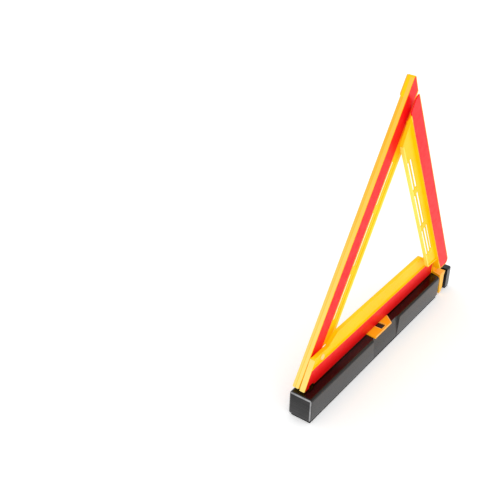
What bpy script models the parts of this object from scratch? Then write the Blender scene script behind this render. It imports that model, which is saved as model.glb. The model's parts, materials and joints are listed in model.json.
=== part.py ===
"""Folding warning triangle on a weighted black base.

The frame is a lower bar and two arms that stand at 60 degrees.  The right arm lies in front
of the bar and the left arm behind it, so each folds flat along its own side of the bar.  The
bar turns on a pivot in the middle of the base, and a clip holds its right end to the base.

Lengths below are in millimetres, with X along the base, Y towards the back and Z up.  The
origin is at the middle of the base's footprint.
"""

import math

import bmesh
import bpy
from mathutils import Matrix, Vector

MM = 0.001
GAP = 0.3

# Base
BASE_LENGTH = 445.0
BASE_DEPTH = 36.0
BASE_HEIGHT = 40.0
BASE_ROUND = 3.4
SOLE = 1.8
WALL = 2.6
FRONT_WALL = 5.4
WAIST_LEFT = -50.5
WAIST_RIGHT = 32.5
WAIST_DEPTH = 4.2
WAIST_ROUND = 5.0
WAIST_SLOPE = 0.105
NECK_LEFT = 174.5
NECK_RIGHT = 206.5
NECK_DEPTH = 4.0
NECK_TOP = 2.4
COVER = 2.5
BALLAST = (130.0, 19.0, 20.0)
BALLAST_OFFSET = 94.0
CAVITY_HALF = 172.0

# Triangle as a whole
ARM_ANGLE = math.radians(60.0)
FOOT_X = 217.5
FRAME_BOTTOM = 42.4
BAR_TOP = 98.8
EDGE_TO_PIVOT = 22.5
PIVOT_Z = BAR_TOP - EDGE_TO_PIVOT
LEAN = math.atan(0.0328)

# Bar
BAR_Y = 1.1
BAR_THICK = 5.8
LENS_WIDTH = 27.4
PANEL_THICK = 2.0
BAR_SHOULDER = 86.0
SHOULDERS = (-158.5, 137.5)
CREST = (-134.5, 122.5)
BAR_RIGHT = 199.0
NOTCH = (-203.0, -190.0)
NOTCH_TOP = 46.4
BAR_LENS_RIGHT = 176.0
BAR_END_STRIPS = {"front": 1.0, "rear": 4.5}
END_FLANGE = 3.0
END_FLANGE_TOP = 84.0

# Arms
ARM_THICK = 10.0
ARM_WIDTH = 56.3
ARM_WEB = 1.4
ARM_RIM = 5.0
RIM_WIDTH = 1.8
PANEL_FOOT = 80.0
LEFT_ARM_Y = 11.6
RIGHT_ARM_Y = -10.7
SLOT_WIDTH = 4.8
SLOT_GROUPS = ((50.0, 118.0), (130.0, 208.0), (220.0, 283.0))
SLOT_ROWS = (42.6, 50.0)
EXTRA_ROW = 35.2

# Lenses
SEAT_MARGIN = 0.9
LENS_MARGIN = SEAT_MARGIN + GAP
HOLLOW_MARGIN = 3.0
SHELF = 1.6
LENS_THICK = 1.8
SEAT_DEPTH = LENS_THICK + GAP

# Pivots
RIVET_SHAFT = 2.5
RIVET_HEAD = 4.6
RIVET_TAIL = 3.0
HEAD_THICK = 1.2
SPACER_RADIUS = 5.2
BOSS_RADIUS = 8.0
PEG_RADIUS = 1.5
PEG_PLACE = (345.8, 12.0)
PEG_REACH = 3.5

# Ends of the arms at the apex
TIP_PAD_START = 366.0
TIP_PAD_THICK = 1.6
LENS_LIP = 5.5
UNDERCUT_SLOPE = 1.45
UNDERCUT_HOLLOW = 18.4

# Orange plates and swivel
SWIVEL_X = -12.5
SWIVEL_Y = -7.0
PLATE_THICK = 1.8
BOLT_WINDOW = 13.0
CLIP_THICK = 4.2
STRAP_THICK = 3.0
UPSTAND_THICK = 1.2
UPSTAND_TOP = 68.6
BOLT_HEAD = 5.0
BOLT_SHAFT = 3.0

# Bodies with many shallow pockets, where the exact solver leaves faces out
POCKETED = ("bar_body", "left_arm_body", "right_arm_body")

YELLOW = (1.0, 0.66, 0.04)
RED = (0.9, 0.02, 0.03)
ORANGE = (1.0, 0.37, 0.02)
BLACK = (0.02, 0.02, 0.022)
RUBBER = (0.012, 0.012, 0.012)
STEEL = (0.55, 0.56, 0.58)


def clear_scene():
    for item in list(bpy.data.objects):
        bpy.data.objects.remove(item, do_unlink=True)


def new_collection(name):
    group = bpy.data.collections.new(name)
    bpy.context.scene.collection.children.link(group)
    return group


clear_scene()
PARTS = new_collection("warning_triangle")
CUTTERS = new_collection("cutters")


def new_material(name, colour, roughness, metallic=0.0):
    material = bpy.data.materials.new(name)
    material.use_nodes = True
    shader = material.node_tree.nodes["Principled BSDF"]
    shader.inputs["Base Color"].default_value = (*colour, 1.0)
    shader.inputs["Roughness"].default_value = roughness
    shader.inputs["Metallic"].default_value = metallic
    return material


# Placing and naming ----------------------------------------------------------------------

def new_empty(name, place, lean=0.0, parent=None):
    """An empty at a hinge; place is in millimetres in its parent's frame."""
    empty = bpy.data.objects.new(name, None)
    PARTS.objects.link(empty)
    empty.empty_display_size = 20 * MM
    empty.location = Vector(place) * MM
    empty.rotation_euler.x = lean
    empty.parent = parent
    return empty


def add_part(name, mesh, place, parent, look):
    """One named sub-part with its own material; look is (colour, roughness, metallic)."""
    part = bpy.data.objects.new(name, mesh)
    part.location = Vector(place) * MM
    part.parent = parent
    mesh.materials.clear()
    mesh.materials.append(new_material(name, *look))
    PARTS.objects.link(part)
    return part


def cut(part, mesh, place=(0.0, 0.0, 0.0), operation="DIFFERENCE"):
    """Takes mesh out of part, or joins it on; place is in the frame of part's parent."""
    cutter = bpy.data.objects.new("cut_" + part.name, mesh)
    cutter.location = Vector(place) * MM
    cutter.parent = part.parent
    cutter.hide_render = True
    cutter.display_type = "WIRE"
    CUTTERS.objects.link(cutter)
    boolean = part.modifiers.new("cut", "BOOLEAN")
    boolean.operation = operation
    boolean.solver = "MANIFOLD" if part.name in POCKETED else "EXACT"
    boolean.object = cutter


# Shapes ----------------------------------------------------------------------------------

def rounded(corners, steps=5):
    """A loop with each corner (x, y, radius) turned into an arc."""
    loop = []
    count = len(corners)
    for index, (x, y, radius) in enumerate(corners):
        corner = Vector((x, y))
        if radius <= 0.0:
            loop.append(corner)
            continue
        before = (Vector(corners[index - 1][:2]) - corner).normalized()
        after = (Vector(corners[(index + 1) % count][:2]) - corner).normalized()
        half = before.angle(after) / 2
        bisector = (before + after).normalized()
        centre = corner + bisector * radius / math.sin(half)
        start = corner + before * radius / math.tan(half) - centre
        end = corner + after * radius / math.tan(half) - centre
        turn = start.angle_signed(end)
        for step in range(steps + 1):
            loop.append(centre + Matrix.Rotation(-turn * step / steps, 2) @ start)
    return loop


def flat_outline(loops, thickness):
    """A flat outline stood up in the XZ plane and centred on y = 0; further loops are holes."""
    curve = bpy.data.curves.new("outline", "CURVE")
    curve.dimensions = "2D"
    curve.fill_mode = "BOTH"
    curve.extrude = thickness * MM / 2
    for loop in loops:
        spline = curve.splines.new("POLY")
        spline.points.add(len(loop) - 1)
        spline.use_cyclic_u = True
        for point, corner in zip(spline.points, loop):
            point.co = (corner[0] * MM, corner[1] * MM, 0.0, 1.0)
    drawing = bpy.data.objects.new("drawing", curve)
    CUTTERS.objects.link(drawing)
    bpy.context.view_layer.update()
    seen = drawing.evaluated_get(bpy.context.evaluated_depsgraph_get())
    mesh = bpy.data.meshes.new_from_object(seen)
    shape = bmesh.new()
    shape.from_mesh(mesh)
    bmesh.ops.remove_doubles(shape, verts=shape.verts, dist=0.01 * MM)
    bmesh.ops.recalc_face_normals(shape, faces=shape.faces)
    bmesh.ops.rotate(shape, verts=shape.verts, matrix=Matrix.Rotation(math.radians(90), 3, "X"))
    shape.to_mesh(mesh)
    shape.free()
    bpy.data.objects.remove(drawing, do_unlink=True)
    return mesh


def lay_flat(outline, thickness):
    """An outline drawn in plan, as a plate centred on z = 0."""
    mesh = flat_outline([outline], thickness)
    mesh.transform(Matrix.Rotation(math.radians(-90), 4, "X"))
    return mesh


def block(size, edge=0.0):
    """A box centred on its origin, with rounded edges when edge is given."""
    shape = bmesh.new()
    bmesh.ops.create_cube(shape, size=1.0)
    bmesh.ops.scale(shape, vec=Vector(size) * MM, verts=shape.verts)
    if edge > 0.0:
        bmesh.ops.bevel(shape, geom=shape.edges, offset=edge * MM, segments=3, profile=0.5, affect="EDGES")
    mesh = bpy.data.meshes.new("block")
    shape.to_mesh(mesh)
    shape.free()
    return mesh


def disc(radius, length, sides=32):
    """A cylinder along Y, centred on its origin."""
    shape = bmesh.new()
    bmesh.ops.create_cone(shape, cap_ends=True, segments=sides, radius1=radius * MM,
                          radius2=radius * MM, depth=length * MM)
    bmesh.ops.rotate(shape, verts=shape.verts, matrix=Matrix.Rotation(math.radians(90), 3, "X"))
    mesh = bpy.data.meshes.new("disc")
    shape.to_mesh(mesh)
    shape.free()
    return mesh


def upright_disc(radius, length, sides=32):
    """A cylinder along Z, centred on its origin."""
    mesh = disc(radius, length, sides)
    mesh.transform(Matrix.Rotation(math.radians(90), 4, "X"))
    return mesh


def turned(name, profile, place, parent, look, along_y=True):
    """A turned piece: profile is (radius, distance along the axis), from the far end to the near end."""
    mesh = bpy.data.meshes.new(name)
    points = [(radius * MM, 0.0, along * MM) for radius, along in profile]
    mesh.from_pydata(points, [(step, step + 1) for step in range(len(points) - 1)], [])
    part = add_part(name, mesh, place, parent, look)
    if along_y:
        part.rotation_euler.x = math.radians(-90)
    screw = part.modifiers.new("turn", "SCREW")
    screw.steps = 28
    screw.render_steps = 28
    screw.use_merge_vertices = True
    screw.merge_threshold = 0.00001
    screw.use_smooth_shade = False
    return part


def smooth(part):
    part.data.shade_smooth()
    part.data.set_sharp_from_angle(angle=math.radians(35))


# Base ------------------------------------------------------------------------------------

def waist_cutter():
    """The scoop in the base's front: curved at each end, and shallower towards the foot."""
    y_front = -BASE_DEPTH / 2
    outline = rounded([
        (WAIST_LEFT - 4.0, y_front - 4.0, 0.0),
        (WAIST_RIGHT + 4.0, y_front - 4.0, 0.0),
        (WAIST_RIGHT - WAIST_DEPTH, y_front + WAIST_DEPTH, WAIST_ROUND),
        (WAIST_LEFT + WAIST_DEPTH, y_front + WAIST_DEPTH, WAIST_ROUND),
    ])
    mesh = lay_flat(outline, 2 * BASE_HEIGHT)
    mesh.transform(Matrix.Shear("XY", 4, (0.0, WAIST_SLOPE)))
    return mesh


def make_base_shell(base):
    height = BASE_HEIGHT - SOLE - GAP
    mesh = block((BASE_LENGTH, BASE_DEPTH, height), BASE_ROUND)
    shell = add_part("base_shell", mesh, (0, 0, BASE_HEIGHT - height / 2), base, (BLACK, 0.28))
    cut(shell, waist_cutter(), (0, 0, BASE_HEIGHT))
    neck_length = NECK_RIGHT - NECK_LEFT
    neck_x = (NECK_LEFT + NECK_RIGHT) / 2
    cut(shell, block((neck_length, NECK_DEPTH * 2, 120.0)), (neck_x, -BASE_DEPTH / 2, 0.0))
    cut(shell, block((neck_length, 60.0, NECK_TOP * 2)), (neck_x, 0.0, BASE_HEIGHT))
    cavity_depth = BASE_DEPTH - FRONT_WALL - WALL
    cavity_y = (FRONT_WALL - WALL) / 2
    cavity_height = (BASE_HEIGHT - WALL) * 2
    cut(shell, block((2 * CAVITY_HALF, cavity_depth - 2.0, cavity_height)), (-6.0, cavity_y - 1.0, 0.0))
    cut(shell, upright_disc(BOLT_SHAFT + GAP, 30.0), (SWIVEL_X, SWIVEL_Y, BASE_HEIGHT))
    return shell


def make_base_inside(base):
    """Cover plate, ballast bars and the soles underneath."""
    cavity_depth = BASE_DEPTH - FRONT_WALL - WALL - 2.0
    cavity_y = (FRONT_WALL - WALL) / 2 - 1.0
    cover_z = SOLE + GAP + COVER / 2
    cover = block((2 * CAVITY_HALF - 2 * GAP, cavity_depth - 2 * GAP, COVER))
    add_part("base_cover_plate", cover, (-6.0, cavity_y, cover_z), base, (BLACK, 0.5))
    ballast_z = SOLE + GAP + COVER + GAP + BALLAST[2] / 2
    for side, name in ((-1, "ballast_left"), (1, "ballast_right")):
        place = (-6.0 + side * BALLAST_OFFSET, cavity_y, ballast_z)
        add_part(name, block(BALLAST, 1.0), place, base, (STEEL, 0.6, 1.0))
    sole_y = -1.6
    sole_depth = BASE_DEPTH - 5.0
    for name, left, right in (
        ("sole_long", -220.5, NECK_LEFT - 2.0),
        ("sole_end", NECK_RIGHT + 2.0, 220.5),
    ):
        mesh = block((right - left, sole_depth, SOLE), 0.4)
        add_part(name, mesh, ((left + right) / 2, sole_y, SOLE / 2), base, (RUBBER, 0.85))


def make_swivel_bolt(base):
    """The pivot in the base's top that the frame turns on, with its nut inside the base."""
    plate_top = BASE_HEIGHT + GAP + PLATE_THICK
    inside = BASE_HEIGHT - WALL
    profile = [
        (0.0, plate_top), (BOLT_HEAD - 0.6, plate_top), (BOLT_HEAD, plate_top - 0.5),
        (BOLT_HEAD, BASE_HEIGHT + GAP), (BOLT_SHAFT, BASE_HEIGHT + GAP),
        (BOLT_SHAFT, inside - 7.0), (0.0, inside - 7.0),
    ]
    turned("swivel_bolt", profile, (SWIVEL_X, SWIVEL_Y, 0.0), base, (BLACK, 0.4), along_y=False)
    washer_z = inside - GAP - 0.6
    washer = add_part("swivel_washer", upright_disc(5.2, 1.2), (SWIVEL_X, SWIVEL_Y, washer_z), base,
                      (STEEL, 0.35, 1.0))
    cut(washer, upright_disc(BOLT_SHAFT + GAP, 10.0), washer.location / MM)
    nut_z = washer_z - 0.6 - GAP - 2.0
    nut = add_part("swivel_nut", upright_disc(5.0, 4.0, 6), (SWIVEL_X, SWIVEL_Y, nut_z), base,
                   (STEEL, 0.35, 1.0))
    cut(nut, upright_disc(BOLT_SHAFT + GAP, 10.0), nut.location / MM)


# Arm outlines ----------------------------------------------------------------------------
# A place on an arm is (along, inward): along the arm from its pivot, and inward from its
# outer edge.  side is 1 on the left arm and -1 on the right one.

def on_arm(along, inward, side):
    outward = EDGE_TO_PIVOT - inward
    x = along * math.cos(ARM_ANGLE) - outward * math.sin(ARM_ANGLE)
    z = along * math.sin(ARM_ANGLE) + outward * math.cos(ARM_ANGLE)
    return side * x, z


def along_at(height, inward):
    """How far along the arm a level line at this height above the base crosses it."""
    rise = height - PIVOT_Z - (EDGE_TO_PIVOT - inward) * math.cos(ARM_ANGLE)
    return rise / math.sin(ARM_ANGLE)


class Arm:
    """The measures in which the two arms differ."""

    def __init__(self, name, side, foot, front_lens_foot, foot_round, tip, slant, panel_slant, bar_side):
        self.name = name
        self.side = side
        self.foot = foot
        self.front_lens_foot = front_lens_foot
        self.foot_round = foot_round
        self.tip = tip
        self.slant = slant
        self.panel_slant = panel_slant
        self.bar_side = bar_side

    def slant_at(self, inward, margin=0.0):
        return self.slant - margin / math.sin(ARM_ANGLE) - inward / math.tan(ARM_ANGLE)

    def panel_end(self, inward, margin=0.0):
        return self.slant_at(inward, margin) - self.slant + self.panel_slant

    def slant_start(self, margin=0.0):
        """Where the slanted end meets the square tip, inward from the outer edge."""
        return (self.slant_at(0.0, margin) - (self.tip - margin)) * math.tan(ARM_ANGLE)

    def place(self, corners):
        placed = [(*on_arm(along, inward, self.side), radius) for along, inward, radius in corners]
        return rounded(placed)

    def whole(self):
        rail = LENS_WIDTH + 1.6
        step = []
        if self.slant > self.panel_slant:
            step = [(self.slant_at(rail), rail, 1.0), (self.panel_end(rail), rail, 0.0)]
        return self.place([
            (along_at(self.foot, 0.0), 0.0, self.foot_round),
            (self.tip, 0.0, 2.5),
            (self.tip, self.slant_start(), 2.5),
            *step,
            (self.panel_end(ARM_WIDTH), ARM_WIDTH, 1.0),
            (along_at(PANEL_FOOT, ARM_WIDTH), ARM_WIDTH, 1.0),
            (along_at(PANEL_FOOT, rail), rail, 0.0),
            (along_at(self.foot, rail), rail, 1.0),
        ])

    def lens_foot(self, face):
        return self.front_lens_foot if face < 0 else self.foot

    def rail(self, margin, foot, inner_margin=None, end_margin=None):
        """The red strip's outline from a foot at this height, drawn in by margin."""
        inner = LENS_WIDTH - (margin if inner_margin is None else inner_margin)
        end = margin if end_margin is None else end_margin
        low = foot + margin
        return self.place([
            (along_at(low, margin), margin, max(self.foot_round - margin, 0.5)),
            (self.tip - end, margin, 1.5),
            (self.tip - end, max(self.slant_start(end), margin + 2.2), 1.5),
            (self.slant_at(inner, end), inner, 0.0),
            (along_at(low, inner), inner, 0.0),
        ])

    def panel(self, start, margin):
        """The thin panel from start inwards; the margin is left along its free edges."""
        end = ARM_WIDTH - margin
        low = PANEL_FOOT + margin
        return self.place([
            (along_at(low, start), start, 0.0),
            (self.panel_end(start, margin), start, 0.0),
            (self.panel_end(end, margin), end, 0.0),
            (along_at(low, end), end, 0.0),
        ])

    def slots(self):
        """Long slots in rows beside the inner edge, with a third row in the lowest group."""
        loops = []
        for number, (low, high) in enumerate(SLOT_GROUPS):
            rows = SLOT_ROWS + ((EXTRA_ROW,) if number == 0 else ())
            for inward in rows:
                half = SLOT_WIDTH / 2
                loops.append(self.place([
                    (low, inward - half, 1.2),
                    (high, inward - half, 1.2),
                    (high, inward + half, 1.2),
                    (low, inward + half, 1.2),
                ]))
        return loops


LEFT_ARM = Arm("left_arm", 1, FRAME_BOTTOM + 0.3, 70.0, 2.5, 395.4, 398.2, 378.0, -1)
RIGHT_ARM = Arm("right_arm", -1, 55.0, 55.0, 7.0, 371.2, 376.4, 359.1, 1)


def apex_undercut():
    """Cutter for the right arm's end, which slopes away under its front lens's overhanging lip.

    Its outline is in distances in from the slanted end and back from the arm's middle.
    """
    start = LENS_THICK - GAP - ARM_THICK / 2
    back = ARM_THICK / 2 + 1.5
    mesh = flat_outline([[
        (-20.0, -ARM_THICK),
        (LENS_LIP, -ARM_THICK),
        (LENS_LIP, start),
        (LENS_LIP + (back - start) * UNDERCUT_SLOPE, back),
        (-20.0, back),
    ]], 140.0)
    across, up = math.sin(ARM_ANGLE), math.cos(ARM_ANGLE)
    mesh.transform(Matrix(((across, -up, 0.0), (0.0, 0.0, 1.0), (-up, -across, 0.0))).to_4x4())
    return mesh


def make_arm(arm, hinge):
    """Moulded body, its two red lenses and, on each face, the recesses that take them."""
    half = ARM_THICK / 2
    body = add_part(arm.name + "_body", flat_outline([arm.whole(), *arm.slots()], ARM_THICK),
                    (0, 0, 0), hinge, (YELLOW, 0.35))
    hollow_end = UNDERCUT_HOLLOW if arm is RIGHT_ARM else HOLLOW_MARGIN
    for face in (-1, 1):
        def recess(outline, floor):
            depth = half + 1.0 - floor
            cut(body, flat_outline([outline], depth), (0.0, face * (floor + depth / 2), 0.0))

        lens_foot = arm.lens_foot(face)
        hollow_foot = PIVOT_Z + BOSS_RADIUS if face == arm.bar_side else lens_foot
        recess(arm.panel(LENS_WIDTH + 0.6, -3.0), ARM_RIM / 2)
        recess(arm.panel(LENS_WIDTH + 1.1, RIM_WIDTH), ARM_WEB / 2)
        recess(arm.rail(SEAT_MARGIN, lens_foot), half - SEAT_DEPTH)
        recess(arm.rail(HOLLOW_MARGIN, hollow_foot, SHELF, hollow_end), ARM_WEB / 2)
    cut(body, disc(RIVET_SHAFT + GAP, 3 * ARM_THICK))

    for face, end in ((-1, "front"), (1, "rear")):
        outline = arm.rail(LENS_MARGIN, arm.lens_foot(face))
        y = face * (half - LENS_THICK / 2)
        lens = add_part(arm.name + "_lens_" + end, flat_outline([outline], LENS_THICK),
                        (0.0, y, 0.0), hinge, (RED, 0.15))
        if face == arm.bar_side:
            cut(lens, disc(RIVET_SHAFT + 2 * GAP, 3 * ARM_THICK))
    return body


def slope_right_end():
    """Undercuts the right arm's body and rear lens at the apex."""
    x, z = on_arm(RIGHT_ARM.slant, 0.0, RIGHT_ARM.side)
    for name in ("right_arm_body", "right_arm_lens_rear"):
        part = bpy.data.objects[name]
        cut(part, apex_undercut(), (x, 0.0, z))
        weld = part.modifiers.new("weld", "WELD")
        weld.merge_threshold = 0.02 * MM


def make_tip_pad(arm, hinge):
    """The thickened pad behind the left arm's tip, where it is gripped to part the arms."""
    rail = LENS_WIDTH
    outline = arm.place([
        (TIP_PAD_START, 0.4, 3.0),
        (arm.tip - 0.4, 0.4, 2.5),
        (arm.tip - 0.4, arm.slant_start(), 2.0),
        (arm.slant_at(rail), rail - 0.6, 1.0),
        (TIP_PAD_START, rail - 0.6, 3.0),
    ])
    y = ARM_THICK / 2 + GAP + TIP_PAD_THICK / 2
    mesh = flat_outline([outline], TIP_PAD_THICK)
    return add_part(arm.name + "_tip_pad", mesh, (0.0, y, 0.0), hinge, (YELLOW, 0.35))


def make_peg(hinge):
    """The peg behind the right arm's tip that snaps into the left arm's front lens."""
    x, z = on_arm(*PEG_PLACE, RIGHT_ARM.side)
    start = ARM_WEB / 2 + GAP
    end = ARM_THICK / 2 + PEG_REACH
    place = (x, (start + end) / 2, z)
    peg = add_part("apex_peg", disc(PEG_RADIUS, end - start, 20), place, hinge, (YELLOW, 0.4))
    rear_lens = bpy.data.objects["right_arm_lens_rear"]
    cut(rear_lens, disc(PEG_RADIUS + GAP, 12.0, 20), (x, ARM_THICK / 2, z))
    return peg


def make_peg_socket(arm_lens):
    """The hole for the peg, with room around it, in the left arm's front lens."""
    x, z = on_arm(*PEG_PLACE, RIGHT_ARM.side)
    along_x = x + 2 * pivot_x()
    mesh = disc(PEG_RADIUS + 2 * GAP, 6.0, 20)
    cut(arm_lens, mesh, (along_x, -ARM_THICK / 2, z / math.cos(LEAN)))


# Bar -------------------------------------------------------------------------------------

def edge_x(height):
    """Half the triangle's width between its outer edges at this height."""
    return FOOT_X - (height - BASE_HEIGHT) / math.tan(ARM_ANGLE)


def pivot_x():
    return edge_x(PIVOT_Z) - EDGE_TO_PIVOT / math.sin(ARM_ANGLE)


def notch_corners():
    """The notch in the bar's lower edge, near its left end."""
    left, right = NOTCH
    return [
        (left, FRAME_BOTTOM, 0.0),
        (left, NOTCH_TOP, 1.0),
        (right, NOTCH_TOP, 1.0),
        (right, FRAME_BOTTOM, 0.0),
    ]


def bar_outline():
    right_corner = BASE_HEIGHT + (FOOT_X - BAR_RIGHT) * math.tan(ARM_ANGLE)
    return rounded([
        *notch_corners(),
        (BAR_RIGHT, FRAME_BOTTOM, 1.5),
        (BAR_RIGHT, right_corner, 1.0),
        (edge_x(BAR_SHOULDER), BAR_SHOULDER, 3.0),
        (SHOULDERS[1], BAR_SHOULDER, 2.0),
        (CREST[1], BAR_TOP, 3.0),
        (CREST[0], BAR_TOP, 3.0),
        (SHOULDERS[0], BAR_SHOULDER, 2.0),
        (-edge_x(BAR_SHOULDER), BAR_SHOULDER, 3.0),
        (-edge_x(FRAME_BOTTOM), FRAME_BOTTOM, 1.5),
    ])


def bar_panel(margin):
    """The thin panel above the bar's red strip; the margin is left along its free edges."""
    low = FRAME_BOTTOM + LENS_WIDTH + 0.8
    shoulder = BAR_SHOULDER - margin
    slope = margin / math.sin(ARM_ANGLE)
    return rounded([
        (BAR_RIGHT - slope, low, 0.0),
        (edge_x(shoulder) - slope, shoulder, 2.0),
        (SHOULDERS[1] - 0.5, shoulder, 1.0),
        (CREST[1] - 0.5, BAR_TOP - margin, 2.0),
        (CREST[0] + 0.5, BAR_TOP - margin, 2.0),
        (SHOULDERS[0] + 0.5, shoulder, 1.0),
        (slope - edge_x(shoulder), shoulder, 2.0),
        (slope - edge_x(low), low, 0.0),
    ])


def bar_lens(end, margin, low, notch=()):
    """The bar's red strip, drawn in by margin but open at its lower edge, which is at low."""
    high = FRAME_BOTTOM + LENS_WIDTH - margin
    left = BAR_END_STRIPS[end] + margin / math.sin(ARM_ANGLE)
    return rounded([
        (BAR_LENS_RIGHT - margin, low, 0.5),
        (BAR_LENS_RIGHT - margin, high, 0.5),
        (left - edge_x(high), high, 0.5),
        (left - edge_x(low), low, 0.0),
        *notch,
    ])


def from_swivel(x, y, z):
    """A place in the frame of the empty on the swivel's axis."""
    return x - SWIVEL_X, y - SWIVEL_Y, z


def end_flange():
    """The flange behind the bar's left end, which closes the space in front of the left arm."""
    width = END_FLANGE / math.sin(ARM_ANGLE)
    return flat_outline([rounded([
        (0.4 - edge_x(FRAME_BOTTOM + 1.0), FRAME_BOTTOM + 1.0, 0.0),
        (width - edge_x(FRAME_BOTTOM + 1.0), FRAME_BOTTOM + 1.0, 0.0),
        (width - edge_x(END_FLANGE_TOP), END_FLANGE_TOP, 0.5),
        (0.4 - edge_x(END_FLANGE_TOP), END_FLANGE_TOP, 0.5),
    ])], 2.9)


def make_bar(frame):
    half = BAR_THICK / 2
    body = add_part("bar_body", flat_outline([bar_outline()], BAR_THICK), from_swivel(0, BAR_Y, 0),
                    frame, (YELLOW, 0.35))
    for face, end in ((-1, "front"), (1, "rear")):
        def recess(outline, floor):
            depth = half + 1.0 - floor
            place = from_swivel(0, BAR_Y + face * (floor + depth / 2), 0)
            cut(body, flat_outline([outline], depth), place)

        recess(bar_panel(RIM_WIDTH), PANEL_THICK / 2)
        recess(bar_lens(end, SEAT_MARGIN, FRAME_BOTTOM - 1.0), half - SEAT_DEPTH)
        outline = bar_lens(end, LENS_MARGIN, FRAME_BOTTOM, notch_corners())
        y = BAR_Y + face * (half - LENS_THICK / 2)
        add_part("bar_lens_" + end, flat_outline([outline], LENS_THICK),
                 from_swivel(0, y, 0), frame, (RED, 0.15))
    for side in (-1, 1):
        place = from_swivel(side * pivot_x(), BAR_Y, PIVOT_Z)
        cut(body, disc(RIVET_SHAFT + 2 * GAP, 4 * BAR_THICK), place)
    cut(body, end_flange(), from_swivel(0, BAR_Y + half + 0.45, 0), operation="UNION")


def make_swivel_plate(frame):
    """The plate under the bar that turns on the base, with a square window for the bolt."""
    outline = rounded([
        (-45.5, -17.4, 1.0),
        (5.5, -17.4, 2.0),
        (17.5, -3.0, 1.0),
        (17.5, 6.0, 1.0),
        (-42.5, 6.0, 1.0),
    ])
    z = BASE_HEIGHT + GAP + PLATE_THICK / 2
    plate = add_part("swivel_plate", lay_flat(outline, PLATE_THICK), from_swivel(0, 0, z), frame,
                     (ORANGE, 0.35))
    window = block((BOLT_WINDOW, BOLT_WINDOW, 8.0))
    cut(plate, window, from_swivel(SWIVEL_X, SWIVEL_Y, z))


def make_end_clip(frame):
    """The clip on the bar's right end: a plate over the base's neck, a strap and an upstand."""
    outline = rounded([
        (177.0, -17.6, 1.0),
        (197.5, -17.6, 2.0),
        (197.5, 6.0, 1.0),
        (182.0, 6.0, 1.0),
        (182.0, -3.0, 1.0),
    ])
    top = FRAME_BOTTOM - GAP
    clip = add_part("end_clip", lay_flat(outline, CLIP_THICK), from_swivel(0, 0, top - CLIP_THICK / 2),
                    frame, (ORANGE, 0.35))
    strap = flat_outline([rounded([
        (177.3, top - 1.0, 0.0),
        (183.0, 3.0, 1.5),
        (190.0, 3.0, 3.0),
        (193.5, 10.0, 3.0),
        (193.5, top - 1.0, 0.0),
    ])], STRAP_THICK)
    y = -17.55 + STRAP_THICK / 2
    cut(clip, strap, from_swivel(0, y, 0), operation="UNION")
    upstand = flat_outline([rounded([
        (183.0, top - 1.0, 0.0),
        (196.5, top - 1.0, 0.0),
        (196.5, UPSTAND_TOP, 1.0),
        (178.0, UPSTAND_TOP, 1.0),
        (178.0, top + 1.5, 0.0),
    ])], UPSTAND_THICK)
    y = BAR_Y - BAR_THICK / 2 - GAP - UPSTAND_THICK / 2
    cut(clip, upstand, from_swivel(0, y, 0), operation="UNION")


def make_pivot(side_name, axis, toward_bar, near, far):
    """Rivet through bar and arm, and the spacer between them, along the hinge's axis.

    near and far are the distances from the arm's middle to the two faces of the bar's panel.
    """
    half_web = ARM_WEB / 2
    head = far + GAP
    tail = half_web + GAP
    profile = [
        (0.0, head + HEAD_THICK + 0.3), (RIVET_HEAD - 1.2, head + HEAD_THICK + 0.3),
        (RIVET_HEAD, head + 0.5), (RIVET_HEAD, head), (RIVET_SHAFT, head),
        (RIVET_SHAFT, -tail), (RIVET_TAIL, -tail), (RIVET_TAIL, -tail - HEAD_THICK),
        (0.0, -tail - HEAD_THICK),
    ]
    rivet = turned("pivot_rivet_" + side_name, profile, (0, 0, 0), axis, (YELLOW, 0.4))
    if toward_bar < 0:
        rivet.rotation_euler.x = math.radians(90)
    start = ARM_THICK / 2 + GAP
    end = near - 2 * GAP
    y = toward_bar * (start + end) / 2
    spacer = add_part("pivot_spacer_" + side_name, disc(SPACER_RADIUS, end - start), (0, y, 0), axis,
                      (YELLOW, 0.4))
    cut(spacer, disc(RIVET_SHAFT + GAP, 20.0), (0, y, 0))


def make_frame_and_arms(frame):
    make_bar(frame)
    make_swivel_plate(frame)
    make_end_clip(frame)
    panel_near = BAR_Y + PANEL_THICK / 2
    panel_far = BAR_Y - PANEL_THICK / 2
    for arm, arm_y, lean in ((LEFT_ARM, LEFT_ARM_Y, LEAN), (RIGHT_ARM, RIGHT_ARM_Y, 0.0)):
        side_name = arm.name.split("_")[0]
        place = from_swivel(-arm.side * pivot_x(), arm_y, PIVOT_Z)
        axis = new_empty(side_name + "_pivot_axis", place, lean, frame)
        hinge = new_empty(side_name + "_hinge", place, lean, frame)
        make_arm(arm, hinge)
        distances = sorted((abs(arm_y - panel_near), abs(arm_y - panel_far)))
        make_pivot(side_name, axis, arm.bar_side, *distances)
        if arm is LEFT_ARM:
            make_tip_pad(arm, hinge)
            make_peg_socket(bpy.data.objects["left_arm_lens_front"])
        else:
            slope_right_end()
            make_peg(hinge)


def build():
    base = new_empty("base", (0, 0, 0))
    make_base_shell(base)
    make_base_inside(base)
    make_swivel_bolt(base)
    frame = new_empty("frame_swivel", (SWIVEL_X, SWIVEL_Y, 0.0))
    make_frame_and_arms(frame)
    for part in PARTS.objects:
        if part.type == "MESH":
            smooth(part)


build()
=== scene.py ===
"""Looks of the folding warning triangle: moulded fluorescent plastic, red reflex strips, black base."""
import json
import math

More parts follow.
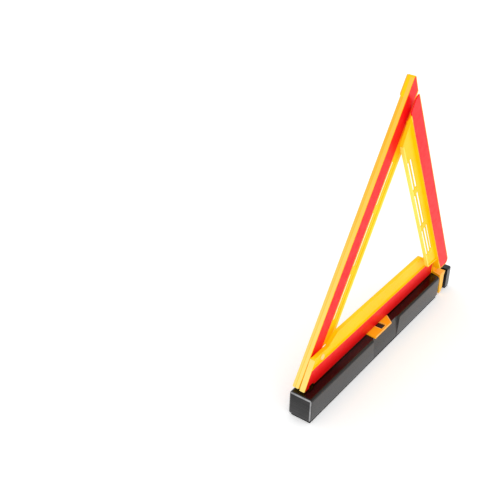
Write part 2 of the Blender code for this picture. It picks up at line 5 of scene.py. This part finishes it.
import bmesh
import bpy
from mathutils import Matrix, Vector


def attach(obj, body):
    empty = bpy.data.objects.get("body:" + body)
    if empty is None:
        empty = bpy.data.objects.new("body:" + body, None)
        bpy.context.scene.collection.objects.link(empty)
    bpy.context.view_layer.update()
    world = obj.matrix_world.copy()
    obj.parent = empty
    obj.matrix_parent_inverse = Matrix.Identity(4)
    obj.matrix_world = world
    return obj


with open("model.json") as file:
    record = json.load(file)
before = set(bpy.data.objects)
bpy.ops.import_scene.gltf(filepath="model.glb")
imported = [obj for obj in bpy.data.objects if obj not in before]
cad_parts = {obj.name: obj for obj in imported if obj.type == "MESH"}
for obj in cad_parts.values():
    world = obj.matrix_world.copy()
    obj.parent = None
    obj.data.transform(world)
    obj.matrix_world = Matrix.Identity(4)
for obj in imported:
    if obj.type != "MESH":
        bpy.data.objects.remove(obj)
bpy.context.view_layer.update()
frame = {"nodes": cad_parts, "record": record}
NODES = frame["nodes"]
JOINTS = {joint["name"]: joint for joint in frame["record"]["behaviour"]["joints"]}

MM = 0.001
ARM_ANGLE = math.radians(60.0)

# Sizes of the frame, in millimetres
EDGE_TO_PIVOT = 22.5
ARM_WIDTH = 56.3
ARM_HALF_THICK = 5.0
RAIL_HALF_THICK = 2.5
STRIP_WIDTH = 27.4
BASE_TOP = 40.0
PLATE_TOP = 42.1
FOOT_X = 217.5
BAR_FACES = {"front": -1.8, "rear": 4.0}
BAR_STRIP_TOP = 69.8

# Ribs along an arm's outer edge: their extent from that edge inward, and across the arm's thickness
RIB_DEPTH = (-0.35, 0.6)
RIB_FRONT = (-4.6, 0.3)
RIB_REAR = (1.0, 4.7)

# Face that closes the bar's left end: its extent from that end inward, towards the back and in height
END_FACE_DEPTH = (-0.3, 0.7)
END_FACE_BACK = (-2.0, 5.8)
END_FACE_HEIGHT = (43.2, 83.0)

# Where the painted highlight along the base's rounded end edges begins and ends along x, y and z, in
# metres
END_EDGE = (0.2202, 0.2214)
SIDE_EDGE = (0.0157, 0.0168)
TOP_EDGE = (0.0374, 0.0386)

# Faces of a box whose eight corners come from three nested loops
BOX_FACES = ((0, 1, 3, 2), (4, 6, 7, 5), (0, 4, 5, 1), (2, 3, 7, 6), (0, 2, 6, 4), (1, 5, 7, 3))

CAMERA_PLACE = (-0.9418, -0.4370, 0.7615)
CAMERA_DEGREES = (59.546, -0.937, -53.311)
CAMERA_LENS = 57.989


# Node helpers ----------------------------------------------------------------------------

class Nodes:
    """A material's node tree, with short ways to add and link nodes."""

    def __init__(self, name):
        self.material = bpy.data.materials.new(name)
        self.material.use_nodes = True
        self.tree = self.material.node_tree
        self.shader = self.tree.nodes["Principled BSDF"]
        place = self.tree.nodes.new("ShaderNodeTexCoord")
        self.place = place.outputs["Object"]

    def add(self, kind, values=None, **settings):
        node = self.tree.nodes.new("ShaderNode" + kind)
        for key, value in settings.items():
            setattr(node, key, value)
        for key, value in (values or {}).items():
            if isinstance(value, bpy.types.NodeSocket):
                self.tree.links.new(value, node.inputs[key])
            else:
                node.inputs[key].default_value = value
        return node

    def set(self, **sockets):
        """Sets the shader's own sockets; an underscore in a name stands for a space."""
        for key, value in sockets.items():
            self.shader.inputs[key.replace("_", " ")].default_value = value

    def link(self, output, socket):
        self.tree.links.new(output, self.shader.inputs[socket])

    def axis(self, name):
        """The X, Y or Z coordinate on the object."""
        return self.add("SeparateXYZ", {"Vector": self.place}).outputs[name]

    def noise(self, scale, detail=3.0, stretch=None):
        where = self.place
        if stretch:
            where = self.add("Mapping", {"Vector": where, "Scale": stretch}).outputs["Vector"]
        return self.add("TexNoise", {"Vector": where, "Scale": scale, "Detail": detail}).outputs["Fac"]

    def ramp(self, value, first, last):
        """A colour blended between two stops, each a position and a colour."""
        node = self.add("ValToRGB", {"Fac": value})
        for element, (position, colour) in zip(node.color_ramp.elements, (first, last)):
            element.position = position
            element.color = (*colour, 1.0)
        return node.outputs["Color"]

    def spread(self, value, low, high, start=0.3, end=0.7):
        """Maps a value from between start and end to between low and high."""
        node = self.add("MapRange", {"Value": value, "From Min": start, "From Max": end,
                                     "To Min": low, "To Max": high})
        return node.outputs["Result"]

    def combine(self, operation, *values):
        """Two numbers added, multiplied or compared, or one changed."""
        return self.add("Math", dict(enumerate(values)), operation=operation).outputs[0]

    def bump(self, height, distance, strength=1.0, normal=None):
        values = {"Height": height, "Distance": distance, "Strength": strength}
        if normal is not None:
            values["Normal"] = normal
        return self.add("Bump", values).outputs["Normal"]

    def dim(self, colour, factor, strength=1.0):
        """A colour multiplied by a number."""
        gray = self.add("CombineColor", {"Red": factor, "Green": factor, "Blue": factor})
        return self.mix(strength, colour, gray.outputs["Color"], "MULTIPLY")

    def mix(self, factor, first, second, blend="MIX"):
        node = self.add("Mix", data_type="RGBA", blend_type=blend)
        for index, value in ((0, factor), (6, first), (7, second)):
            if isinstance(value, bpy.types.NodeSocket):
                self.tree.links.new(value, node.inputs[index])
            else:
                node.inputs[index].default_value = value
        return node.outputs[2]


def rgb(red, green, blue):
    """A colour from the usual 0 to 255 values, as the linear light that Blender takes."""
    return tuple((value / 255.0) ** 2.2 for value in (red, green, blue))


# Materials -------------------------------------------------------------------------------

def plastic(name, dark, light, roughness, grain=0.00003, painted_glow=None, painted_glow_strength=0.0, **sockets):
    """Moulded plastic: faint flow marks in its colour, a fine grain and scuffs in its gloss; a given
    glow is painted light, an even emission that brightens it under any lamp.
    """
    nodes = Nodes(name)
    flow = nodes.noise(22.0, 4.0, (0.4, 1.0, 1.0))
    nodes.link(nodes.ramp(flow, (0.3, dark), (0.7, light)), "Base Color")
    scuffs = nodes.noise(160.0, 6.0, (1.0, 1.0, 3.0))
    nodes.link(nodes.spread(scuffs, roughness * 0.8, roughness * 1.25), "Roughness")
    soft = nodes.bump(nodes.noise(35.0, 2.0), 0.0003, 0.3)
    nodes.link(nodes.bump(nodes.noise(1400.0, 2.0), grain, 0.6, soft), "Normal")
    nodes.set(**sockets)
    # Painted light: the emission makes the plastic glow evenly in its own colour.
    if painted_glow:
        nodes.set(Emission_Color=(*painted_glow, 1.0), Emission_Strength=painted_glow_strength)
    return nodes.material


def reflex(name, deep, bright, painted_glow_strength, cell_depth, coat, painted_reflection_dim=1.0):
    """Clear red plastic over rows of reflex prisms, glowing with painted light for their reflex shine;
    on the bar a painted reflection of the black base darkens its lower edge.
    """
    nodes = Nodes(name)
    cells = nodes.add("TexVoronoi", {"Vector": nodes.place, "Scale": 420.0, "Randomness": 0.12})
    wide = nodes.noise(9.0, 2.0, (0.6, 1.0, 1.0))
    tone = nodes.ramp(wide, (0.3, deep), (0.72, bright))
    lines = nodes.spread(cells.outputs["Distance"], 1.0 - cell_depth, 1.0 + cell_depth, 0.0, 0.7)
    colour = nodes.dim(tone, lines, 0.55)
    # Painted reflection: the bar's strip darkens towards its foot, where it mirrors the black base.
    if painted_reflection_dim < 1.0:
        colour = nodes.dim(colour, nodes.spread(nodes.axis("Z"), painted_reflection_dim, 1.0, 0.044, 0.066))
    nodes.link(colour, "Base Color")
    nodes.link(colour, "Emission Color")
    nodes.link(nodes.bump(cells.outputs["Distance"], 0.0002, 0.25), "Normal")
    nodes.link(nodes.spread(nodes.noise(120.0, 5.0), 0.3, 0.45), "Roughness")
    # The emission is painted light, standing in for the prisms' reflex shine.
    nodes.set(Coat_Weight=coat, Coat_Roughness=0.06, Specular_IOR_Level=0.12,
              Emission_Strength=painted_glow_strength)
    return nodes.material


def rib_plastic(name, foot, tip):
    """Plastic for the arms' outer ribs, paler towards their feet, with a faint glow of painted light.
    """
    nodes = Nodes(name)
    rise = nodes.spread(nodes.axis("Z"), 0.0, 1.0, 0.06, 0.36)
    marks = nodes.spread(nodes.noise(40.0, 4.0, (1.0, 1.0, 0.3)), -0.08, 0.08)
    colour = nodes.ramp(nodes.combine("ADD", rise, marks), (0.0, foot), (1.0, tip))
    nodes.link(colour, "Base Color")
    nodes.link(colour, "Emission Color")
    nodes.link(nodes.spread(nodes.noise(160.0, 6.0), 0.34, 0.46), "Roughness")
    nodes.link(nodes.bump(nodes.noise(1400.0, 2.0), 0.00003, 0.6), "Normal")
    # The emission is painted light: a faint glow in the ribs' own colour.
    nodes.set(Specular_IOR_Level=0.2, Emission_Strength=0.1)
    return nodes.material


def black_shell():
    """Glossy black moulding: a painted sheen greys it towards its foot, it is streaked, and a painted
    highlight pales its end edges.
    """
    nodes = Nodes("black_shell")
    along, across = (nodes.combine("ABSOLUTE", nodes.axis(name)) for name in "XY")
    height = nodes.axis("Z")
    # Painted sheen: the black is lifted towards grey near the foot and mottled by noise.
    foot = nodes.spread(height, 1.0, 0.0, 0.002, 0.038)
    sheen_mottle = nodes.spread(nodes.noise(30.0, 4.0, (0.3, 1.0, 1.0)), 0.55, 1.15)
    painted_sheen = nodes.combine("MULTIPLY", foot, sheen_mottle)
    streaks = nodes.spread(nodes.noise(110.0, 5.0, (0.06, 0.15, 5.0)), -0.34, 0.34)
    tone = nodes.combine("ADD", painted_sheen, streaks)
    # Painted highlight: a pale band along the rounded edges at both ends of the base, broken up by
    # noise.
    near_end = nodes.spread(along, 0.0, 1.0, *END_EDGE)
    near_side = nodes.spread(across, 0.0, 1.0, *SIDE_EDGE)
    near_top = nodes.spread(height, 0.0, 1.0, *TOP_EDGE)
    edge = nodes.combine("MULTIPLY", near_end, nodes.combine("MAXIMUM", near_side, near_top))
    painted_highlight = nodes.combine("MULTIPLY", edge, nodes.spread(nodes.noise(90.0, 4.0), 0.55, 1.0))
    black = nodes.ramp(tone, (0.0, rgb(10, 9, 10)), (1.0, rgb(60, 59, 60)))
    nodes.link(nodes.mix(painted_highlight, black, (*rgb(186, 186, 188), 1.0)), "Base Color")
    nodes.link(nodes.spread(nodes.noise(160.0, 6.0, (1.0, 1.0, 3.0)), 0.16, 0.24), "Roughness")
    fine = nodes.bump(nodes.noise(1400.0, 2.0), 0.00002, 0.4)
    nodes.link(nodes.bump(streaks, 0.00006, 0.4, fine), "Normal")
    nodes.set(Specular_IOR_Level=0.36)
    return nodes.material


def steel(name, tone, roughness):
    """Bare steel with a drawn finish."""
    nodes = Nodes(name)
    nodes.set(Metallic=1.0)
    bright = tuple(channel * 1.2 for channel in tone)
    nodes.link(nodes.ramp(nodes.noise(60.0), (0.3, tone), (0.7, bright)), "Base Color")
    drawn = nodes.noise(300.0, 4.0, (1, 1, 8))
    nodes.link(nodes.spread(drawn, roughness * 0.7, roughness * 1.3), "Roughness")
    nodes.link(nodes.bump(nodes.noise(900.0), 0.00003, 0.5), "Normal")
    return nodes.material


# The glows below are painted light that brightens each plastic evenly; on the fluorescent yellows it is
# partly their real fluorescence and partly painted light in place of their translucency.
YELLOW = plastic("yellow_fluorescent", rgb(250, 194, 8), rgb(255, 208, 16), 0.4,
                 painted_glow=rgb(255, 204, 0), painted_glow_strength=0.14, Specular_IOR_Level=0.15)
EDGE_PALE = rib_plastic("yellow_edge_pale", rgb(255, 222, 120), rgb(255, 196, 76))
EDGE_DEEP = rib_plastic("yellow_edge_deep", rgb(255, 218, 114), rgb(250, 182, 54))
PIVOT_PALE = plastic("yellow_pivot_pale", rgb(255, 220, 130), rgb(255, 228, 150), 0.4)
# Greenish yellow, paled and made to glow as a painted highlight along the arms' inner edges.
GREEN_EDGE_HIGHLIGHT = plastic("yellow_green_edge_highlight", rgb(240, 222, 84), rgb(248, 232, 106), 0.35,
                     painted_glow=rgb(245, 228, 90), painted_glow_strength=0.14, Specular_IOR_Level=0.2)
ORANGE_LINE = plastic("orange_border", rgb(240, 120, 30), rgb(248, 132, 36), 0.4,
                      painted_glow=rgb(250, 110, 20), painted_glow_strength=0.06, Specular_IOR_Level=0.3)
# Pale glowing orange for the rims: a painted highlight along the edges of the plate and clip.
ORANGE_RIM_HIGHLIGHT = plastic("orange_highlight_rim", rgb(255, 206, 112), rgb(255, 216, 128), 0.34,
                     painted_glow=rgb(255, 190, 80), painted_glow_strength=0.12, Specular_IOR_Level=0.3)
ORANGE = plastic("orange_plastic", rgb(252, 170, 14), rgb(255, 190, 34), 0.34,
                 painted_glow=rgb(255, 175, 15), painted_glow_strength=0.1, Specular_IOR_Level=0.35)
# Both reds glow with painted light; the bar's last value sets its painted dark reflection of the base.
RED = reflex("red_reflex", rgb(238, 18, 26), rgb(246, 30, 38), 0.08, 0.05, 0.0)
BAR_RED = reflex("red_reflex_bar", rgb(238, 2, 6), rgb(252, 20, 22), 0.13, 0.02, 0.1, 0.72)
BLACK = black_shell()
BLACK_PLAIN = plastic("black_plain", rgb(24, 24, 24), rgb(32, 32, 32), 0.5)
RUBBER = plastic("sole_rubber", rgb(14, 14, 14), rgb(22, 22, 22), 0.85, 0.0001)
STEEL = steel("bright_steel", rgb(170, 172, 176), 0.3)
BALLAST = steel("ballast_steel", rgb(110, 108, 106), 0.5)

LOOKS = {
    YELLOW: ["bar_body", "left_arm_body", "right_arm_body", "pivot_spacer_left", "pivot_spacer_right"],
    EDGE_DEEP: ["left_arm_tip_pad"],
    PIVOT_PALE: ["pivot_rivet_left", "pivot_rivet_right"],
    RED: ["left_arm_lens_front", "left_arm_lens_rear", "right_arm_lens_front", "right_arm_lens_rear",
          "apex_peg"],
    BAR_RED: ["bar_lens_front", "bar_lens_rear"],
    ORANGE: ["swivel_plate", "end_clip"],
    BLACK: ["base_shell"],
    BLACK_PLAIN: ["base_cover_plate", "swivel_bolt"],
    RUBBER: ["sole_long", "sole_end"],
    STEEL: ["swivel_washer", "swivel_nut"],
    BALLAST: ["ballast_left", "ballast_right"],
}


def dress_cad_nodes():
    """Gives each node of the frame its material; the peg is red, as the strips around it are."""
    for material, names in LOOKS.items():
        for name in names:
            node = NODES[name]
            node.data.materials.clear()
            node.data.materials.append(material)
            node.data.shade_smooth()
            node.data.set_sharp_from_angle(angle=math.radians(32))


# Pieces ----------------------------------------------------------------------------------

def add_box(shape, corners):
    verts = [shape.verts.new(corner) for corner in corners]
    for face in BOX_FACES:
        shape.faces.new([verts[index] for index in face])


def finish_piece(name, shape, material, body, edge):
    """Makes a piece of this shape, with its edges rounded by a width in millimetres."""
    bmesh.ops.recalc_face_normals(shape, faces=shape.faces)
    mesh = bpy.data.meshes.new(name)
    shape.to_mesh(mesh)
    shape.free()
    piece = bpy.data.objects.new(name, mesh)
    bpy.context.scene.collection.objects.link(piece)
    mesh.materials.append(material)
    bevel = piece.modifiers.new("edges", "BEVEL")
    bevel.width = edge * MM
    bevel.segments = 2
    bevel.limit_method = "ANGLE"
    mesh.shade_smooth()
    mesh.set_sharp_from_angle(angle=math.radians(35))
    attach(piece, body)


class ArmFrame:
    """Axes of an arm: along it from its pivot, inward from its outer edge, and towards the back."""

    def __init__(self, name, joint, side):
        self.name = name
        self.pivot = Vector(joint["pos_m"])
        self.back = Vector(joint["axis"]).normalized()
        up = Vector((1.0, 0.0, 0.0)).cross(self.back).normalized()
        across = Vector((float(side), 0.0, 0.0))
        self.along = across * math.cos(ARM_ANGLE) + up * math.sin(ARM_ANGLE)
        self.outward = -across * math.sin(ARM_ANGLE) + up * math.cos(ARM_ANGLE)

    def point(self, along, inward, back):
        """A place on the arm, given in millimetres."""
        offset = self.along * along + self.outward * (EDGE_TO_PIVOT - inward) + self.back * back
        return self.pivot + offset * MM


def arm_strip(arm, name, material, ends, inward, back):
    """A thin strip moulded on an arm, with its extents along, into and across the arm."""
    shape = bmesh.new()
    add_box(shape, [arm.point(a, i, b) for a in ends for i in inward for b in back])
    finish_piece(arm.name + "_" + name, shape, material, arm.name, 0.15)


def arm_details(arm, foot, rib_ends, strip_start, panel_end):
    """Edge ribs with a seam between them, the lines beside the red strips, and a pale inner edge
    painted as a highlight.
    """
    arm_strip(arm, "rib_front", EDGE_PALE, (foot, rib_ends[0]), RIB_DEPTH, RIB_FRONT)
    arm_strip(arm, "rib_rear", EDGE_DEEP, (foot, rib_ends[1]), RIB_DEPTH, RIB_REAR)
    line = (STRIP_WIDTH - 0.7, STRIP_WIDTH + 0.3)
    for face, end in ((-1, "front"), (1, "rear")):
        back = sorted((face * (ARM_HALF_THICK - 0.4), face * (ARM_HALF_THICK + 0.12)))
        arm_strip(arm, "line_" + end, ORANGE_LINE, (strip_start, panel_end), line, back)
    inner = (ARM_WIDTH - 2.0, ARM_WIDTH + 0.1)
    back = (-RAIL_HALF_THICK - 0.15, RAIL_HALF_THICK + 0.15)
    arm_strip(arm, "inner_edge", GREEN_EDGE_HIGHLIGHT, (26.0, panel_end - 20.0), inner, back)


def make_arm_details():
    left = ArmFrame("left_arm", JOINTS["left_fold"], 1)
    right = ArmFrame("right_arm", JOINTS["right_fold"], -1)
    arm_details(left, -50.0, (392.0, 364.0), 0.0, 362.0)
    arm_details(right, -28.0, (360.0, 351.0), -6.0, 343.0)


def bar_slab(name, corners, back, material, edge):
    """A flat piece on the bar: corners are (x, z) and back is its extent in y."""
    shape = bmesh.new()
    front, rear = ([shape.verts.new((x * MM, y * MM, z * MM)) for x, z in corners] for y in back)
    shape.faces.new(front)
    shape.faces.new(reversed(rear))
    for index in range(len(corners)):
        shape.faces.new((front[index - 1], front[index], rear[index], rear[index - 1]))
    finish_piece(name, shape, material, "frame", edge)


def bar_end_x(height):
    """Where the bar's slanted left end is at this height."""
    return (height - BASE_TOP) / math.tan(ARM_ANGLE) - FOOT_X


def make_bar_details():
    """The pale face that closes the bar's left end, and a seam line above each red strip."""
    outside, inside = END_FACE_DEPTH
    low, high = END_FACE_HEIGHT
    face = [(bar_end_x(low) + outside, low), (bar_end_x(low) + inside, low),
            (bar_end_x(high) + inside, high), (bar_end_x(high) + outside, high)]
    bar_slab("bar_end_face", face, END_FACE_BACK, EDGE_PALE, 0.15)
    low, high = BAR_STRIP_TOP - 0.8, BAR_STRIP_TOP + 0.2
    line = [(-193.0, low), (173.0, low), (173.0, high), (-193.6, high)]
    for end, face_y in BAR_FACES.items():
        bar_slab("bar_line_" + end, line, (face_y - 0.2, face_y + 0.2), ORANGE_LINE, 0.1)


def orange_highlight_rim(name, path, rise, width):
    """A low rim that follows a path of (x, y) on the orange plate or clip, coloured pale as a painted
    highlight along its edges.
    """
    shape = bmesh.new()
    height = (PLATE_TOP - 0.3, PLATE_TOP + rise)
    for (x0, y0), (x1, y1) in zip(path, path[1:]):
        run = Vector((x1 - x0, y1 - y0, 0.0)).normalized()
        side = Vector((-run.y, run.x, 0.0)) * width / 2
        ends = [Vector((x0, y0, 0.0)) - run * width / 2, Vector((x1, y1, 0.0)) + run * width / 2]
        add_box(shape, [(end + side * s + Vector((0.0, 0.0, z))) * MM
                        for end in ends for s in (-1, 1) for z in height])
    finish_piece(name, shape, ORANGE_RIM_HIGHLIGHT, "frame", 0.06)


def make_highlight_rims():
    plate = [(-42.0, -16.8), (4.8, -16.8), (16.8, -3.4), (16.8, -2.2)]
    window = [(-19.4, -13.9), (-5.6, -13.9), (-5.6, -0.2), (-19.4, -0.2), (-19.4, -13.9)]
    clip = [(182.6, -4.0), (177.9, -16.9), (196.6, -16.9)]
    orange_highlight_rim("swivel_plate_highlight_rim", plate, 0.15, 1.3)
    orange_highlight_rim("swivel_window_highlight_rim", window, 0.15, 1.0)
    orange_highlight_rim("end_clip_highlight_rim", clip, 0.25, 1.2)


# Stage -----------------------------------------------------------------------------------

def make_stage():
    """A wide pale floor that glows a little, so that it stays even."""
    mesh = bpy.data.meshes.new("floor")
    shape = bmesh.new()
    bmesh.ops.create_grid(shape, x_segments=1, y_segments=1, size=12.0)
    shape.to_mesh(mesh)
    shape.free()
    floor = bpy.data.objects.new("floor", mesh)
    bpy.context.scene.collection.objects.link(floor)
    nodes = Nodes("floor")
    nodes.set(Base_Color=(0.93, 0.93, 0.93, 1.0), Roughness=0.9, Emission_Color=(1, 1, 1, 1),
              Emission_Strength=0.3)
    mesh.materials.append(nodes.material)


def area_light(name, place, target, size, power):
    data = bpy.data.lights.new(name, "AREA")
    data.shape = "SQUARE"
    data.size = size
    data.energy = power
    light = bpy.data.objects.new(name, data)
    light.location = place
    light.rotation_euler = (Vector(target) - Vector(place)).to_track_quat("-Z", "Y").to_euler()
    bpy.context.scene.collection.objects.link(light)


def make_light():
    """An even white surround and three soft lights."""
    world = bpy.data.worlds.new("studio")
    bpy.context.scene.world = world
    world.use_nodes = True
    background = world.node_tree.nodes["Background"]
    background.inputs["Color"].default_value = (1.0, 1.0, 1.0, 1.0)
    background.inputs["Strength"].default_value = 0.82
    area_light("key", (-1.6, -1.4, 2.0), (0, 0, 0.15), 1.6, 7.0)
    area_light("fill", (1.2, -2.0, 1.3), (0, 0, 0.2), 1.6, 3.5)
    area_light("back", (0.6, 2.0, 1.8), (0, 0, 0.2), 1.4, 4.0)
    settings = bpy.context.scene.view_settings
    settings.view_transform = "Standard"
    settings.look = "None"


def make_camera():
    """The camera, at the place worked out from the object's perspective."""
    data = bpy.data.cameras.new("camera")
    data.sensor_width = 36.0
    data.lens = CAMERA_LENS
    camera = bpy.data.objects.new("camera", data)
    camera.location = CAMERA_PLACE
    camera.rotation_euler = [math.radians(angle) for angle in CAMERA_DEGREES]
    bpy.context.scene.collection.objects.link(camera)
    bpy.context.scene.camera = camera


dress_cad_nodes()
make_arm_details()
make_bar_details()
make_highlight_rims()
make_stage()
make_light()
make_camera()
